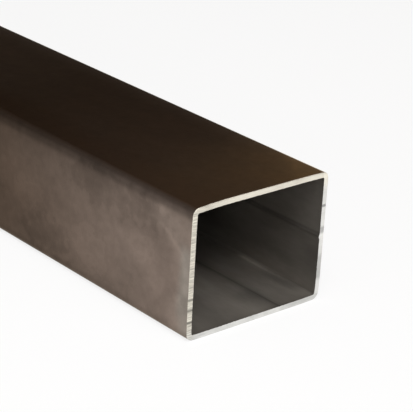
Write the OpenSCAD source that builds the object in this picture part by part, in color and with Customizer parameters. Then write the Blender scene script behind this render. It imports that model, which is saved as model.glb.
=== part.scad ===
// Rectangular steel tube: welded, rolled from strip and sawn to length.
// It lies along X on its wide face. Z is up and the origin is under the middle.

/* [Section] */
// Outside width across the tube
section_width = 50; // [20:1:150]
// Outside height of the tube
section_height = 40; // [20:1:150]
// Wall thickness of the rolled strip
wall = 1.5; // [1:0.1:5]
// Outside radius of the rolled corners
corner_radius = 2; // [1:0.1:9]

/* [Stock] */
// Length between the two sawn ends
stock_length = 500; // [100:10:6000]

/* [Weld seam] */
// Width of the bead that the weld leaves inside
bead_width = 1.2; // [0.6:0.1:4]
// Height of that bead above the inner wall
bead_height = 0.3; // [0.1:0.05:1.5]

/* [Hidden] */
$fn = 96;
tightest_bend = 0.2;
bore_width = section_width - 2 * wall;
bore_height = section_height - 2 * wall;
// The strip keeps its thickness round a corner, so both arcs share one centre
bore_radius = max(corner_radius - wall, tightest_bend);
// The bead is part of a circle, found from its width and its height
bead_radius = (bead_width * bead_width / 4 + bead_height * bead_height) / (2 * bead_height);
bead_centre = bore_width / 2 + bead_radius - bead_height;

// A rectangle with round corners, centred across and standing on the X axis
module rounded_outline(wide, high, radius) {
    translate([-wide / 2 + radius, 0])
        square([wide - 2 * radius, high]);
    translate([-wide / 2, radius])
        square([wide, high - 2 * radius]);
    for (side = [-1, 1])
        for (centre_height = [radius, high - radius])
            translate([side * (wide / 2 - radius), centre_height])
                circle(r = radius);
}

// The bore, which the weld bead narrows in the middle of one side wall
module bore_outline() {
    difference() {
        translate([0, wall])
            rounded_outline(bore_width, bore_height, bore_radius);
        translate([bead_centre, section_height / 2])
            circle(r = bead_radius);
    }
}

// The metal as it shows at a sawn end
module wall_outline() {
    difference() {
        rounded_outline(section_width, section_height, corner_radius);
        bore_outline();
    }
}

module tube() {
    color([0.42, 0.38, 0.35])
        rotate([90, 0, 90])
            translate([0, 0, -stock_length / 2])
                linear_extrude(height = stock_length)
                    wall_outline();
}

tube();
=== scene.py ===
"""Dresses a rectangular steel tube: rolled skin under mill scale, dark bore, weld bead and sawn ends."""
import math
from types import SimpleNamespace

import bpy
from mathutils import Matrix, Vector


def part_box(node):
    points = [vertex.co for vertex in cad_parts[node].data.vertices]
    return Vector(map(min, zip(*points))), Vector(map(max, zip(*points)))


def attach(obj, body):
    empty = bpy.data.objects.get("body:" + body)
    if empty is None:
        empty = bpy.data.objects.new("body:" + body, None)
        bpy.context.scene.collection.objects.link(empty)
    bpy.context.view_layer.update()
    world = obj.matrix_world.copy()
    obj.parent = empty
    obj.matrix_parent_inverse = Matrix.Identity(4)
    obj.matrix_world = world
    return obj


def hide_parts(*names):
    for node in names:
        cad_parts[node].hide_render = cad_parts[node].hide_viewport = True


MM = 0.001

# The tube's own sizes, as its source has them
WALL = 1.5 * MM
CORNER_RADIUS = 2.0 * MM
BEAD_WIDTH = 1.2 * MM
BEAD_HEIGHT = 0.3 * MM

# The walls are a little crowned: they lean in towards the bends, the seam's wall only at its foot,
# and the top sags beside the plain side
CROWN_DEPTH = 0.25 * MM
CROWN_REACH = 8.0 * MM
FOOT_LEAN = 0.4 * MM
SAG_DEPTH = 0.6 * MM
SAG_REACH = 14.0 * MM

# The weld bead strays from the middle of its wall, and its height varies from the lowest share upwards
BEAD_STRAY = 0.5 * MM
BEAD_STRAYS_A_METRE = 60.0
BEAD_SWELLS_A_METRE = 400.0
BEAD_LOWEST = 0.6
BEAD_RANGE = 0.6

# A fine line that the rolls left along the bore's floor, measured across from the middle
ROLL_LINE_ACROSS = 9.8 * MM
ROLL_LINE_WIDTH = 0.7 * MM
ROLL_LINE_DEPTH = 0.12 * MM

# The saw moved across the tube, so its marks are nearly level lines, which differ between the ends
SAW_RIDGE_PITCH = 0.8 * MM
SAW_RIDGE_DEPTH = 0.05 * MM
SAW_WAVE_PITCH = 3.4 * MM
SAW_WAVE_DEPTH = 0.08 * MM
SAW_SLOPE = 0.02
SAW_SHIFT_BETWEEN_ENDS = 0.3
# Sawing rounds the outer edge over and turns a fine ragged burr into the bore
EDGE_ROUNDING = 0.12 * MM
BURR_REACH = 0.14 * MM
BURR_BAND = 0.6 * MM
BURR_TEETH_A_METRE = 900.0
BURR_LOWEST = 0.4
BURR_RANGE = 1.2
# Deeper scores on one end: side wall (-1 or 1), height, half height and depth
SAW_SCORES = (
    (-1, 12.7 * MM, 0.40 * MM, 0.05 * MM),
    (-1, 9.5 * MM, 0.45 * MM, 0.07 * MM),
    (-1, 5.9 * MM, 0.50 * MM, 0.10 * MM),
    (1, 29.5 * MM, 0.50 * MM, 0.10 * MM),
)

# Worn patches on the plain side near one end: place along, height, half length, half height and lightness
WORN_PATCHES = (
    (174.0 * MM, 19.0 * MM, 7.0 * MM, 5.5 * MM, 0.2),
    (205.0 * MM, 11.5 * MM, 9.0 * MM, 7.0 * MM, 0.2),
    (229.0 * MM, 20.5 * MM, 6.5 * MM, 4.5 * MM, 0.15),
    (186.0 * MM, 8.5 * MM, 12.0 * MM, 6.0 * MM, -0.09),
    (214.0 * MM, 32.0 * MM, 22.0 * MM, 5.0 * MM, -0.08),
)

# Mill scale in painted shade far from the cuts, near them, in painted light beside them, in a greyer strip
# along them and under a painted golden highlight
SCALE_FAR_PAINTED_SHADE = (0.073, 0.050, 0.037)
SCALE_NEAR = (0.197, 0.152, 0.127)
SCALE_BESIDE_PAINTED_LIGHT = (0.264, 0.208, 0.174)
SCALE_GREY = (0.27, 0.255, 0.225)
SCALE_PAINTED_HIGHLIGHT = (0.74, 0.55, 0.31)
# Oxide stays brown where it is seen at a low angle
SCALE_AT_LOW_ANGLES = (0.79, 0.73, 0.66, 1.0)
# The bore's duller oxide, and the bare steel of the cuts with its warmer parts
BORE_DARK = (0.173, 0.156, 0.136)
BORE_LIGHT = (0.254, 0.233, 0.205)
STEEL_PALE = (0.84, 0.83, 0.80)
STEEL_PALE_WARM = (0.90, 0.86, 0.74)
STEEL_DULL = (0.60, 0.60, 0.57)
STEEL_DULL_WARM = (0.67, 0.62, 0.53)

# A pale floor, which mostly shows as white, and a pale band round the horizon under a dim warm room
FLOOR_SIZE = 60.0
FLOOR_PAPER = (0.85, 0.85, 0.85, 1.0)
FLOOR_WHITE = (1.0, 1.0, 1.0, 1.0)
FLOOR_WHITENESS = 0.82
HORIZON_COLOUR = (0.84, 0.84, 0.84)
ROOM_COLOUR = (0.071, 0.047, 0.028)
HORIZON_FADES_FROM = 0.075
HORIZON_FADES_TO = 0.13
# Soft lamps: name, place, point that it faces, width, height and power
LAMPS = (
    ("high lamp", (0.75, -0.25, 1.0), (0.2, 0.0, 0.02), 0.7, 0.7, 13.5),
    ("front lamp", (1.3, -0.1, 0.45), (0.2, 0.0, 0.02), 1.8, 0.6, 5.7),
    ("side lamp", (0.1, -1.2, 0.35), (0.1, 0.0, 0.02), 1.2, 0.4, 4.0),
    ("back lamp", (-1.4, -0.1, 0.5), (-0.2, 0.0, 0.02), 1.5, 0.5, 3.0),
)

# The camera's place, angles and lens, solved from the tube's edges in the photograph
CAMERA_PLACE = (0.57027, -0.30414, 0.21788)
CAMERA_TURN = math.radians(48.466)
CAMERA_TIP = math.radians(90.0 - 22.620)
CAMERA_ROLL = math.radians(3.286)
CAMERA_LENS = 151.807
CAMERA_SENSOR = 36.0

# Steps of the mesh, the angle of a sharp edge and the slope past which a face belongs to a cut
STEP_ROUND_SECTION = 0.25 * MM
STEPS_IN_BEND = 24
CUTS_ALONG_TUBE = 47
CUTS_ACROSS_RIM = 5
SHARP_ANGLE = math.radians(40)
CUT_FACING = 0.6
# Margins that pick out the points of the ends, the bore's floor, one wall and the rim's two edges
END_MARGIN = 0.01 * MM
FLOOR_MARGIN = 0.02 * MM
IN_WALL = 1.05
AT_EDGE = 0.05
# The same for a cut's colours, where burrs and lean make a wall's rim a little wider
ON_RIM = 1.3
SEED = 7

# A mix node's sockets for colours
MIX_FIRST = 6
MIX_SECOND = 7
MIX_RESULT = 2


class Field:
    """A value in a node tree that can be used in plain sums."""

    def __init__(self, tree, socket):
        self.tree = tree
        self.socket = socket

    def maths(self, operation, *others):
        node = self.tree.nodes.new("ShaderNodeMath")
        node.operation = operation
        for socket, value in zip(node.inputs, (self, *others)):
            feed(self.tree, socket, value)
        return Field(self.tree, node.outputs[0])

    def __add__(self, other):
        return self.maths("ADD", other)

    def __sub__(self, other):
        return self.maths("SUBTRACT", other)

    def __mul__(self, other):
        return self.maths("MULTIPLY", other)

    def __truediv__(self, other):
        return self.maths("DIVIDE", other)

    def __rsub__(self, other):
        return self * -1.0 + other

    def __neg__(self):
        return self * -1.0

    __radd__ = __add__
    __rmul__ = __mul__

    def size(self):
        return self.maths("ABSOLUTE")

    def sign(self):
        return self.maths("SIGN")

    def sine(self):
        return self.maths("SINE")

    def modulo(self, other):
        return self.maths("MODULO", other)

    def above(self, other):
        return self.maths("GREATER_THAN", other)

    def below(self, other):
        return self.maths("LESS_THAN", other)

    def at_least(self, other):
        return self.maths("MAXIMUM", other)

    def at_most(self, other):
        return self.maths("MINIMUM", other)

    def between(self, start, end, low=0.0, high=1.0):
        """Runs smoothly from low to high while this value goes from start to end."""
        node = self.tree.nodes.new("ShaderNodeMapRange")
        node.interpolation_type = "SMOOTHSTEP"
        for name, value in (
            ("Value", self),
            ("From Min", start),
            ("From Max", end),
            ("To Min", low),
            ("To Max", high),
        ):
            feed(self.tree, node.inputs[name], value)
        return Field(self.tree, node.outputs["Result"])


def feed(tree, socket, value):
    """Joins a field to a socket, or writes a plain value on it."""
    if isinstance(value, Field):
        tree.links.new(value.socket, socket)
    else:
        socket.default_value = value


def add(tree, kind, settings=None, **inputs):
    """Adds a node. An input's name has _ for each space."""
    node = tree.nodes.new(kind)
    for name, value in (settings or {}).items():
        setattr(node, name, value)
    for name, value in inputs.items():
        feed(tree, node.inputs[name.replace("_", " ")], value)
    return node


def out(node, name=0):
    """What a node gives, as a field."""
    return Field(node.id_data, node.outputs[name])


def split(vector):
    """A vector's three parts."""
    node = add(vector.tree, "ShaderNodeSeparateXYZ", Vector=vector)
    return out(node, "X"), out(node, "Y"), out(node, "Z")


def joined(tree, x, y, z):
    """A vector from its three parts."""
    return out(add(tree, "ShaderNodeCombineXYZ", X=x, Y=y, Z=z))


def line_noise(tree, place, detail=0.0):
    """Noise from 0 to 1 along one line."""
    settings = {"noise_dimensions": "1D"}
    node = add(tree, "ShaderNodeTexNoise", settings, W=place, Scale=1.0, Detail=detail, Roughness=0.5)
    return out(node, "Fac")


def points(tree):
    """The places of the mesh's points."""
    return split(out(add(tree, "GeometryNodeInputPosition")))


def moved(tree, mesh, x, y, z):
    """The mesh with its points moved."""
    offset = joined(tree, x, y, z)
    return out(add(tree, "GeometryNodeSetPosition", Geometry=mesh, Offset=offset))


def tube_inputs(tree, sizes):
    """Gives the tree its named inputs and returns them as fields, with their identifiers."""
    fields = {}
    identifiers = {}
    for name in sizes:
        socket = tree.interface.new_socket(name, in_out="INPUT", socket_type="NodeSocketFloat")
        identifiers[name] = socket.identifier
    group = tree.nodes.new("NodeGroupInput")
    for name in sizes:
        fields[name] = Field(tree, group.outputs[name])
    return fields, identifiers


def sweep_wall(tree, size):
    """Carries a strip as long as the tube round the middle of its wall."""
    middle = add(
        tree,
        "GeometryNodeCurvePrimitiveQuadrilateral",
        Width=size["Width"] - size["Wall"],
        Height=size["Height"] - size["Wall"],
    )
    bent = add(
        tree,
        "GeometryNodeFilletCurve",
        {"mode": "POLY"},
        Curve=out(middle),
        Count=STEPS_IN_BEND,
        Radius=size["Corner Radius"] - size["Wall"] / 2.0,
    )
    path = add(
        tree,
        "GeometryNodeResampleCurve",
        {"mode": "LENGTH"},
        Curve=out(bent),
        Length=STEP_ROUND_SECTION,
    )
    strip = add(
        tree,
        "GeometryNodeCurvePrimitiveQuadrilateral",
        Width=size["Wall"],
        Height=size["Length"],
    )
    # The strip's sides are the rim, the bore, the other rim and the skin, in turn
    runs_along = out(add(tree, "GeometryNodeInputIndex")).modulo(2.0)
    cuts = runs_along * float(CUTS_ALONG_TUBE - CUTS_ACROSS_RIM) + float(CUTS_ACROSS_RIM)
    strip = add(tree, "GeometryNodeSubdivideCurve", Curve=out(strip), Cuts=cuts)
    across, along, _ = points(tree)
    strip = add(
        tree,
        "GeometryNodeStoreNamedAttribute",
        {"data_type": "FLOAT", "domain": "POINT"},
        Geometry=out(strip),
        Name="through wall",
        Value=0.5 - across / size["Wall"],
    )
    # Cuts are closer together towards the ends, where there is more to shape
    half = size["Length"] / 2.0
    spaced = joined(tree, across, (along / half * (math.pi / 2)).sine() * half, 0.0)
    strip = add(tree, "GeometryNodeSetPosition", Geometry=out(strip), Position=spaced)
    swept = add(tree, "GeometryNodeCurveToMesh", Curve=out(path), Profile_Curve=out(strip))
    laid = add(
        tree,
        "GeometryNodeTransform",
        Geometry=out(swept),
        Translation=joined(tree, 0.0, 0.0, size["Height"] / 2.0),
        Rotation=(math.pi / 2, 0.0, math.pi / 2),
    )
    return out(laid)


def raise_bead(tree, mesh, size):
    """Pushes the weld bead out of the bore's wall, uneven along its length."""
    x, y, z = points(tree)
    from_skin = size["Width"] / 2.0 - y
    in_wall = from_skin.below(size["Wall"] * IN_WALL)
    depth = (from_skin / size["Wall"]).at_least(0.0).at_most(1.0)
    stray = (line_noise(tree, x * BEAD_STRAYS_A_METRE + SEED) - 0.5) * BEAD_STRAY
    across = (z - size["Height"] / 2.0 + stray) / (size["Bead Width"] / 2.0)
    rise = (1.0 - across * across).at_least(0.0)
    uneven = line_noise(tree, x * BEAD_SWELLS_A_METRE + SEED, 2.0) * BEAD_RANGE + BEAD_LOWEST
    push = rise * uneven * size["Bead Height"] * depth * in_wall
    return moved(tree, mesh, 0.0, -push, 0.0)


def score_roll_line(tree, mesh, size):
    """Presses the fine line along the bore's floor."""
    _, y, z = points(tree)
    on_floor = (z - size["Wall"]).size().below(FLOOR_MARGIN)
    away = (y - ROLL_LINE_ACROSS).size() / (ROLL_LINE_WIDTH / 2)
    push = (1.0 - away).at_least(0.0) * on_floor * ROLL_LINE_DEPTH
    return moved(tree, mesh, 0.0, 0.0, -push)


def crown_walls(tree, mesh, size):
    """Leans the walls in towards the bends, by the same amount inside and outside."""
    _, y, z = points(tree)
    up = z - size["Height"] / 2.0
    half_width = size["Width"] / 2.0
    half_height = size["Height"] / 2.0
    near_level = (1.0 - (half_height - up.size()) / CROWN_REACH).at_least(0.0)
    near_side = (1.0 - (half_width - y.size()) / CROWN_REACH).at_least(0.0)
    near_plain_side = (1.0 - (half_width + y) / SAG_REACH).at_least(0.0)
    seam_side = y.above(0.0)
    lean = seam_side * up.below(0.0) * FOOT_LEAN + (1.0 - seam_side) * CROWN_DEPTH
    crown = near_side * near_side * CROWN_DEPTH
    sag = near_plain_side * near_plain_side * SAG_DEPTH
    inward = -(y / half_width) * near_level * near_level * lean
    level = -(up / half_height) * crown.at_least(sag * up.above(0.0))
    return moved(tree, mesh, 0.0, inward, level)


def saw_ends(tree, mesh, size):
    """Cuts the saw's ridges and scores into both ends, within the tube's length, and leaves a burr."""
    x, y, z = points(tree)
    at_end = x.size().above(size["Length"] / 2.0 - END_MARGIN)
    through = out(add(tree, "GeometryNodeInputNamedAttribute", {"data_type": "FLOAT"}, Name="through wall"))
    level = z + y * SAW_SLOPE + x.sign() * SAW_SHIFT_BETWEEN_ENDS
    ridges = line_noise(tree, level / SAW_RIDGE_PITCH + SEED, 1.0) * SAW_RIDGE_DEPTH
    waves = line_noise(tree, level / SAW_WAVE_PITCH + SEED) * SAW_WAVE_DEPTH
    depth = ridges + waves
    for side, height, half_height, deep in SAW_SCORES:
        on_wall = (y * float(side)).above(size["Width"] / 2.0 - size["Wall"] * IN_WALL)
        score = (1.0 - (z - height).size() / half_height).at_least(0.0)
        depth = depth + score * on_wall * x.above(0.0) * deep
    depth = depth + through.below(AT_EDGE) * EDGE_ROUNDING
    up = z - size["Height"] / 2.0
    on_side = y.size().above(size["Width"] / 2.0 - size["Wall"] - BURR_BAND)
    on_level = up.size().above(size["Height"] / 2.0 - size["Wall"] - BURR_BAND)
    round_mouth = (y + up * 1.7) * BURR_TEETH_A_METRE
    ragged = line_noise(tree, round_mouth + SEED, 2.0) * BURR_RANGE + BURR_LOWEST
    burr = through.above(1.0 - AT_EDGE) * at_end * ragged * BURR_REACH
    return moved(
        tree,
        mesh,
        -x.sign() * depth * at_end,
        -y.sign() * on_side * burr,
        -up.sign() * on_level * burr,
    )


def finish_faces(tree, mesh, size, skin, bore, cut):
    """Smooths the faces, keeps the rims' edges sharp and gives each face its finish."""
    smooth = add(tree, "GeometryNodeSetShadeSmooth", Geometry=mesh, Shade_Smooth=True)
    angle = out(add(tree, "GeometryNodeInputMeshEdgeAngle"), "Unsigned Angle")
    edged = add(
        tree,
        "GeometryNodeSetShadeSmooth",
        {"domain": "EDGE"},
        Geometry=out(smooth),
        Selection=angle.above(SHARP_ANGLE),
        Shade_Smooth=False,
    )
    whole = add(tree, "GeometryNodeRealizeInstances", Geometry=out(edged))
    painted = add(tree, "GeometryNodeSetMaterial", Geometry=out(whole))
    painted.inputs["Material"].default_value = skin
    _, y, z = points(tree)
    facing_x, facing_y, facing_z = split(out(add(tree, "GeometryNodeInputNormal")))
    outward = facing_y * y + facing_z * (z - size["Height"] / 2.0)
    for material, chosen in ((bore, outward.below(0.0)), (cut, facing_x.size().above(CUT_FACING))):
        painted = add(tree, "GeometryNodeSetMaterial", Geometry=out(painted), Selection=chosen)
        painted.inputs["Material"].default_value = material
    return out(painted)


def roll_tube(length, width, height, skin, bore, cut):
    """Builds the whole tube as one closed mesh."""
    sizes = {
        "Length": length,
        "Width": width,
        "Height": height,
        "Wall": WALL,
        "Corner Radius": CORNER_RADIUS,
        "Bead Width": BEAD_WIDTH,
        "Bead Height": BEAD_HEIGHT,
    }
    tree = bpy.data.node_groups.new("rolled tube", "GeometryNodeTree")
    size, identifiers = tube_inputs(tree, sizes)
    tree.interface.new_socket("Tube", in_out="OUTPUT", socket_type="NodeSocketGeometry")
    mesh = sweep_wall(tree, size)
    mesh = raise_bead(tree, mesh, size)
    mesh = score_roll_line(tree, mesh, size)
    mesh = crown_walls(tree, mesh, size)
    mesh = saw_ends(tree, mesh, size)
    mesh = finish_faces(tree, mesh, size, skin, bore, cut)
    tree.links.new(mesh.socket, tree.nodes.new("NodeGroupOutput").inputs["Tube"])

    tube = bpy.data.objects.new("rolled_tube", bpy.data.meshes.new("rolled_tube"))
    bpy.context.scene.collection.objects.link(tube)
    modifier = tube.modifiers.new("rolled tube", "NODES")
    modifier.node_group = tree
    for name, value in sizes.items():
        modifier[identifiers[name]] = value
    shown = tube.evaluated_get(bpy.context.evaluated_depsgraph_get())
    plain = bpy.data.meshes.new_from_object(shown)
    tube.modifiers.remove(modifier)
    tube.data = plain
    return tube


def new_finish(name):
    """An empty material: its tree, its shader and the place on the tube that patterns read."""
    material = bpy.data.materials.new(name)
    material.use_nodes = True
    tree = material.node_tree
    shader = tree.nodes["Principled BSDF"]
    place = out(tree.nodes.new("ShaderNodeTexCoord"), "Object")
    return material, tree, shader, place


def cloud(place, pitch, stretch=(1.0, 1.0, 1.0), detail=3.0, roughness=0.55, shift=0.0):
    """Noise from 0 to 1 whose blots are about pitch wide."""
    tree = place.tree
    scale = tuple(1.0 / (pitch * way) for way in stretch)
    placed = out(add(tree, "ShaderNodeMapping", Vector=place, Scale=scale, Location=(shift, shift, shift)))
    node = add(tree, "ShaderNodeTexNoise", Vector=placed, Scale=1.0, Detail=detail, Roughness=roughness)
    return out(node, "Fac")


def blend(factor, first, second):
    """Goes from the first colour to the second as factor goes from 0 to 1."""
    tree = factor.tree
    node = add(tree, "ShaderNodeMix", {"data_type": "RGBA"})
    feed(tree, node.inputs["Factor"], factor)
    for socket, colour in ((MIX_FIRST, first), (MIX_SECOND, second)):
        feed(tree, node.inputs[socket], colour if isinstance(colour, Field) else (*colour, 1.0))
    return out(node, MIX_RESULT)


def relief(height, distance, strength=1.0):
    """Fine relief that only the light shows."""
    return out(add(height.tree, "ShaderNodeBump", Height=height, Distance=distance, Strength=strength))


def scaled(colour, factor):
    """A colour made lighter or darker."""
    settings = {"operation": "SCALE"}
    return out(add(colour.tree, "ShaderNodeVectorMath", settings, Vector=colour, Scale=factor))


def read_skin(place, length, width, height):
    """The places, zones and noises that the skin's patterns share."""
    x, y, z = split(place)
    up = z - height / 2
    # How far a point is below the middle of the upper bend
    below_bend = (height / 2 - up) - (width / 2 - y.size())
    by_side = y.size().between(width / 2 - 3 * MM, width / 2 - 0.5 * MM)
    return SimpleNamespace(
        x=x,
        y=y,
        z=z,
        up=up,
        from_end=length / 2 - x.size(),
        below_bend=below_bend,
        on_side=by_side * below_bend.between(1.5 * MM, 4.0 * MM),
        on_top=up.between(height / 2 - 0.9 * MM, height / 2 - 0.5 * MM),
        clouds=cloud(place, 11 * MM, (1.3, 1.0, 1.0), detail=3.0, roughness=0.55),
        drifts=cloud(place, 30 * MM, (1.5, 1.0, 1.0), detail=2.0, roughness=0.5, shift=6.3),
        blots=cloud(place, 3.0 * MM, detail=3.0, shift=3.1),
        grain=cloud(place, 0.5 * MM, detail=2.0, shift=8.7),
    )


def painted_light_by_cuts(skin):
    """Painted light, falling off along the tube, that makes the oxide paler towards the cuts: its colour,
    and the streaky edge of the palest part.
    """
    # Painted shade far from the cuts, which fades out towards them
    near = (skin.from_end + (skin.drifts - 0.5) * 30 * MM).between(105 * MM, -5 * MM)
    colour = blend(near, SCALE_FAR_PAINTED_SHADE, SCALE_NEAR)
    # The palest part of the painted light runs back in an arc towards the upper bends
    arc = (skin.up.at_least(0.0) * skin.up / (11.4 * MM)).at_most(12 * MM)
    reach = arc + skin.up.between(-4 * MM, -16 * MM) * 5 * MM
    edge = skin.from_end - reach + (skin.clouds - 0.5) * 6 * MM
    # Painted light beside the cuts
    colour = blend(edge.between(9 * MM, -3 * MM) * skin.on_side, colour, SCALE_BESIDE_PAINTED_LIGHT)
    strip = (skin.from_end + (skin.clouds - 0.5) * 5 * MM).between(6 * MM, 2 * MM)
    low_strip = strip * skin.up.between(10 * MM, 5 * MM) * skin.on_side
    colour = blend(low_strip * 0.55, colour, SCALE_GREY)
    # A pale painted streak along the ragged edge of the painted light
    streak = (edge - 1.5 * MM).size().between(0.0, 2.5 * MM, 0.13, 0.0)
    return colour, streak * (skin.blots + 0.5) * skin.on_side


def painted_golden_highlight(skin, colour, width):
    """A painted golden highlight on the wide face beside the cuts, strongest at one corner above the seam's
    wall.
    """
    # Painted highlight: a golden reflection painted into the top's colour
    across = skin.y / (width / 2) + 1.8
    by_cut = (skin.from_end + (skin.drifts - 0.5) * 12 * MM).between(48 * MM, -12 * MM)
    from_corner = skin.from_end - (skin.y - 10 * MM) * 1.5
    at_corner = from_corner.between(1 * MM, -12 * MM) * skin.x.above(0.0) * 0.5
    tint = (by_cut * across * across * 0.118 + at_corner) * skin.on_top
    return blend(tint.at_most(0.85), colour, SCALE_PAINTED_HIGHLIGHT)


def bend_shade(skin):
    """Darkens the sides with painted shade just below the upper bends, and with a painted contact shadow
    towards the lower ones.
    """
    below = skin.below_bend
    # Painted shade just below the upper bends, easing off further down
    at_upper_bend = below.between(-1.0 * MM, 1.0 * MM)
    lighter = below.between(2.6 * MM, 4.8 * MM) * 0.3 + below.between(4.8 * MM, 18.0 * MM) * 0.2
    # Painted contact shadow on the sides near the floor
    low = skin.z.between(0.3 * MM, 4.0 * MM, 0.34, 0.0) + skin.z.between(2.0 * MM, 13.0 * MM, 0.1, 0.0)
    return (1.0 - at_upper_bend * (0.5 - lighter)) * (1.0 - low * skin.on_side)


def skin_mottle(skin, width):
    """Clouds, blots and grain in the oxide, and the ragged patches worn on the plain side."""
    mottle = (skin.clouds - 0.5) * 0.66 + (skin.blots - 0.5) * 0.42 + (skin.grain - 0.5) * 0.12
    on_plain_side = skin.y.below(3 * MM - width / 2)
    ragged = (skin.clouds + skin.blots * 2.0 - 1.5) * 2.5
    for along, level, half_length, half_height, lightness in WORN_PATCHES:
        off_along = (skin.x - along) / half_length
        off_level = (skin.z - level) / half_height
        away = off_along * off_along + off_level * off_level + ragged
        mottle = mottle + away.between(1.4, 0.5) * (skin.blots + 0.5) * on_plain_side * lightness
    return mottle


def mill_scale(length, width, height):
    """The brown oxide skin that rolling leaves: cloudy, with painted shade on the bends and painted light
    that makes it paler near the cuts.
    """
    material, tree, shader, place = new_finish("mill scale")
    shader.inputs["Metallic"].default_value = 1.0
    shader.inputs["Specular Tint"].default_value = SCALE_AT_LOW_ANGLES
    skin = read_skin(place, length, width, height)
    # Painted light and shade along the tube, and a painted golden highlight on the top
    colour, streak = painted_light_by_cuts(skin)
    colour = painted_golden_highlight(skin, colour, width)
    mottle = skin_mottle(skin, width)
    # The weld was planed flush outside, which left a paler band, and the top is rubbed above the plain side
    planed = skin.up.size().between(0.8 * MM, 1.8 * MM, 0.12, 0.0) * skin.y.above(width / 2 - 0.2 * MM)
    rubbed = (-skin.y).between(10 * MM, 22 * MM) * skin.on_top * 0.18
    lightness = mottle + streak + planed + rubbed + 1.0
    feed(tree, shader.inputs["Base Color"], scaled(colour, lightness * bend_shade(skin)))
    # The upper bends are rougher from working
    at_upper_bend = skin.below_bend.between(-1.5 * MM, 1.0 * MM) * skin.below_bend.between(7.0 * MM, 2.5 * MM)
    feed(tree, shader.inputs["Roughness"], 0.32 - mottle * 0.15 + at_upper_bend * 0.22)
    feed(tree, shader.inputs["Normal"], relief(skin.grain + skin.blots * 2.0, 0.015 * MM))
    return material


def read_bore(place, length, width):
    """The places and zones that the bore's marks share."""
    x, y, z = split(place)
    from_skin = width / 2 - y
    return SimpleNamespace(
        y=y,
        z=z,
        from_end=length / 2 - x.size(),
        from_skin=from_skin,
        on_floor=z.below(2 * WALL),
        on_seam_wall=from_skin.below(2 * WALL) * z.between(1.5 * MM, 3.5 * MM),
    )


def painted_bore_light(bore, height):
    """Painted light in the bore: the floor's middle and further in, the seam's wall, and a painted
    highlight streak in its foot bend.
    """
    middle = bore.y.size().between(8 * MM, 1 * MM) * 0.3
    further_in = bore.from_end.between(12 * MM, 34 * MM) * 0.25
    low_wall = bore.z.between(10 * MM, 3 * MM) * 0.35
    above_seam = bore.z.between(height / 2, height / 2 + 2 * MM) * 0.1
    # Painted highlight along the foot bend of the seam's wall
    in_bend = bore.from_skin.between(2.8 * MM, 2.0 * MM) * bore.z.between(3.0 * MM, 2.2 * MM)
    glint_ramp = bore.from_end.between(6 * MM, 16 * MM, 0.0, 0.3)
    glint_ramp = glint_ramp + bore.from_end.between(16 * MM, 28 * MM, 0.0, 0.35)
    streak = in_bend * (glint_ramp * bore.from_end.between(36 * MM, 29 * MM) - 0.05)
    return (middle + further_in) * bore.on_floor + (low_wall + above_seam) * bore.on_seam_wall + streak


def painted_bore_shade(bore):
    """Painted shade in the bore: the floor a little way in, beside that bend and the roll line, and the
    seam's wall.
    """
    beside_bend = bore.from_skin.between(6.2 * MM, 3.8 * MM) * bore.z.between(2.6 * MM, 1.6 * MM)
    beside_bend = beside_bend * bore.from_end.between(24 * MM, 14 * MM) * 0.36
    beside_line = bore.y.between(1 * MM, 5 * MM) * bore.y.between(12 * MM, 9 * MM) * bore.on_floor
    beside_line = beside_line * bore.from_end.between(17 * MM, 11 * MM) * 0.26
    on_floor = (beside_bend + beside_line) * bore.from_end.between(2 * MM, 10 * MM)
    at_mouth = bore.from_end.between(9 * MM, 2 * MM) * bore.z.between(18 * MM, 14 * MM) * 0.17
    return on_floor + (at_mouth + 0.12) * bore.on_seam_wall


def bore_lines(bore, height):
    """Dark lines: the one from the rolls along the floor, and the weld along its wall."""
    from_line = (bore.y - ROLL_LINE_ACROSS).size()
    core = from_line.between(0.2 * MM, 0.8 * MM, 0.2, 0.0)
    halo = from_line.between(0.3 * MM, 3.0 * MM, 0.22, 0.0)
    seam = (bore.z - height / 2 - 0.3 * MM).size().between(0.3 * MM, 1.2 * MM, 0.3, 0.0)
    return (core + halo) * bore.on_floor + seam * bore.on_seam_wall


def bore_scale(length, width, height):
    """The bore's duller oxide, with painted light by the mouth and painted shade further in, darker along
    the weld and along a fine line from the rolls.
    """
    material, tree, shader, place = new_finish("bore scale")
    shader.inputs["Metallic"].default_value = 0.65
    clouds = cloud(place, 10 * MM, (2.5, 1.0, 1.0), detail=4.0, roughness=0.6, shift=5.0)
    grain = cloud(place, 0.6 * MM, (4.0, 1.0, 1.0), detail=2.0, roughness=0.5, shift=1.3)
    tone = clouds.between(0.3, 0.7) * 0.7 + grain * 0.3
    bore = read_bore(place, length, width)
    # Painted light and painted shade in the bore, brighter by the mouth and darker further in
    lightness = painted_bore_light(bore, height) - painted_bore_shade(bore) + 1.0
    mouth_painted_light = bore.from_end.between(3 * MM, 22 * MM, 0.95, 1.12)
    depth_painted_shade = bore.from_end.between(28 * MM, 50 * MM, 1.0, 0.5)
    colour = blend(tone, BORE_DARK, BORE_LIGHT)
    colour = scaled(colour, lightness * (1.0 - bore_lines(bore, height)) * mouth_painted_light * depth_painted_shade)
    feed(tree, shader.inputs["Base Color"], colour)
    feed(tree, shader.inputs["Roughness"], 0.52 - tone * 0.1)
    feed(tree, shader.inputs["Normal"], relief(grain, 0.02 * MM))
    return material


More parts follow.
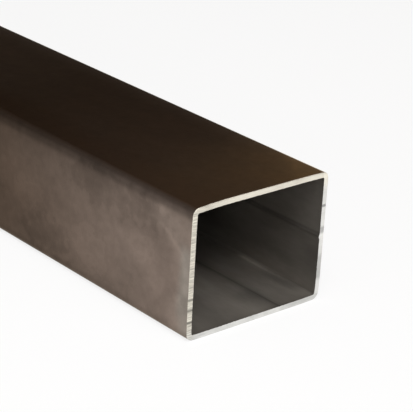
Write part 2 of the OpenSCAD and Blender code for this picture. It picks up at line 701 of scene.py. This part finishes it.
def sawn_steel(width, height):
    """Bare steel at the cut, with fine level saw lines, rubbed on the plain side and duller at the weld."""
    material, tree, shader, place = new_finish("sawn steel")
    shader.inputs["Metallic"].default_value = 1.0
    x, y, z = split(place)
    from_plain_side = y + width / 2
    lines = cloud(place, 0.35 * MM, (1.0, 12.0, 1.0), detail=2.0, roughness=0.6, shift=2.2)
    smears = cloud(place, 5 * MM, (1.0, 1.5, 1.0), detail=3.0, roughness=0.6, shift=4.4)
    tone = lines * 0.5 + smears.between(0.3, 0.7) * 0.5
    # Warmer along the top and the plain side
    warm_side = from_plain_side.between(4 * MM, 1 * MM) * z.between(-2 * MM, 6 * MM)
    warm = z.between(height - 7 * MM, height - 1 * MM).at_least(warm_side)
    pale = blend(warm, STEEL_PALE, STEEL_PALE_WARM)
    dull = blend(warm, STEEL_DULL, STEEL_DULL_WARM)
    colour = blend(tone, dull, pale)
    # Rubbed and scored on the plain side
    rubbed = from_plain_side.between(WALL, 14 * MM, 1.0, 0.0)
    colour = scaled(colour, 1.0 - rubbed * (0.16 + (lines - 0.5) * 1.3))
    # Duller at the weld, along the lower part of its wall and round the bend below it
    on_seam_wall = y.above(width / 2 - WALL * ON_RIM)
    weld = (z - (height / 2 + 2 * MM)).size().between(0.5 * MM, 1.5 * MM, 0.45, 0.0) * on_seam_wall
    low_wall = z.between(15 * MM, 13 * MM) * z.between(5.5 * MM, 7.5 * MM) * on_seam_wall * 0.28
    low_bend = y.between(8 * MM, 14 * MM) * z.below(WALL * ON_RIM) * 0.12
    bright = z.between(14 * MM, 18 * MM) * on_seam_wall * 0.1
    colour = scaled(colour, 1.0 + bright - weld.at_least(low_wall).at_least(low_bend))
    # Darker in the deeper scores of one end
    for side, score_height, half_height, _ in SAW_SCORES:
        on_wall = (y * float(side)).above(width / 2 - WALL * ON_RIM) * x.above(0.0)
        score_darkening = (z - score_height).size().between(half_height * 0.4, half_height * 1.2, 1.0, 0.0)
        colour = scaled(colour, 1.0 - score_darkening * on_wall * 0.55)
    feed(tree, shader.inputs["Base Color"], colour)
    feed(tree, shader.inputs["Roughness"], 0.42 - tone * 0.12)
    feed(tree, shader.inputs["Normal"], relief(lines, 0.03 * MM, 0.6))
    return material


def lay_floor():
    """A wide pale floor that keeps the tube's shadow."""
    bpy.ops.mesh.primitive_plane_add(size=FLOOR_SIZE)
    floor = bpy.context.object
    floor.name = "floor"
    material = bpy.data.materials.new("pale floor")
    material.use_nodes = True
    tree = material.node_tree
    tree.nodes.clear()
    path = tree.nodes.new("ShaderNodeLightPath")
    seen = out(path, "Is Camera Ray").at_least(out(path, "Is Glossy Ray"))
    seen = seen.at_least(out(path, "Is Transmission Ray"))
    paper = add(tree, "ShaderNodeBsdfDiffuse", Color=FLOOR_PAPER)
    white = add(tree, "ShaderNodeEmission", Color=FLOOR_WHITE, Strength=1.0)
    mixed = tree.nodes.new("ShaderNodeMixShader")
    feed(tree, mixed.inputs["Fac"], seen * FLOOR_WHITENESS)
    tree.links.new(paper.outputs[0], mixed.inputs[1])
    tree.links.new(white.outputs[0], mixed.inputs[2])
    output = tree.nodes.new("ShaderNodeOutputMaterial")
    tree.links.new(mixed.outputs[0], output.inputs["Surface"])
    floor.data.materials.append(material)


def hang_lamp(name, place, target, width, height, power):
    """A soft lamp that faces a point."""
    data = bpy.data.lights.new(name, "AREA")
    data.shape = "RECTANGLE"
    data.size = width
    data.size_y = height
    data.energy = power
    lamp = bpy.data.objects.new(name, data)
    lamp.location = place
    lamp.rotation_euler = (Vector(target) - Vector(place)).to_track_quat("-Z", "Y").to_euler()
    bpy.context.scene.collection.objects.link(lamp)


def light_studio():
    """A pale band round the horizon under a dim warm room, and soft lamps on three sides and above."""
    world = bpy.data.worlds.new("studio")
    bpy.context.scene.world = world
    world.use_nodes = True
    tree = world.node_tree
    _, _, up = split(out(tree.nodes.new("ShaderNodeTexCoord"), "Generated"))
    colour = blend(up.between(HORIZON_FADES_FROM, HORIZON_FADES_TO), HORIZON_COLOUR, ROOM_COLOUR)
    feed(tree, tree.nodes["Background"].inputs["Color"], colour)
    for lamp in LAMPS:
        hang_lamp(*lamp)


def stand_camera():
    """Puts the camera where the photograph was taken from."""
    data = bpy.data.cameras.new("camera")
    data.sensor_fit = "HORIZONTAL"
    data.sensor_width = CAMERA_SENSOR
    data.lens = CAMERA_LENS
    camera = bpy.data.objects.new("camera", data)
    turn = Matrix.Rotation(CAMERA_TURN, 4, "Z")
    tip = Matrix.Rotation(CAMERA_TIP, 4, "X")
    roll = Matrix.Rotation(CAMERA_ROLL, 4, "Z")
    camera.matrix_world = Matrix.Translation(CAMERA_PLACE) @ turn @ tip @ roll
    bpy.context.scene.collection.objects.link(camera)
    bpy.context.scene.camera = camera


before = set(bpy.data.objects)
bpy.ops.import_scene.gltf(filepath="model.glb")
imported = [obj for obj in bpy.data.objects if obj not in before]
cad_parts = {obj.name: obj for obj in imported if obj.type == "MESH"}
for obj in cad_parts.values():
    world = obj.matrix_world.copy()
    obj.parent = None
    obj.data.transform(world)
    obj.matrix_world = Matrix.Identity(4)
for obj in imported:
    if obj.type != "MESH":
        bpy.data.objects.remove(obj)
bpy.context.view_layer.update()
bpy.context.scene.view_settings.view_transform = "Standard"

low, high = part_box("tube")
length, width, height = (top - bottom for bottom, top in zip(low, high))
tube = roll_tube(
    length,
    width,
    height,
    skin=mill_scale(length, width, height),
    bore=bore_scale(length, width, height),
    cut=sawn_steel(width, height),
)
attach(tube, "root")
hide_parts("tube")

lay_floor()
light_studio()
stand_camera()
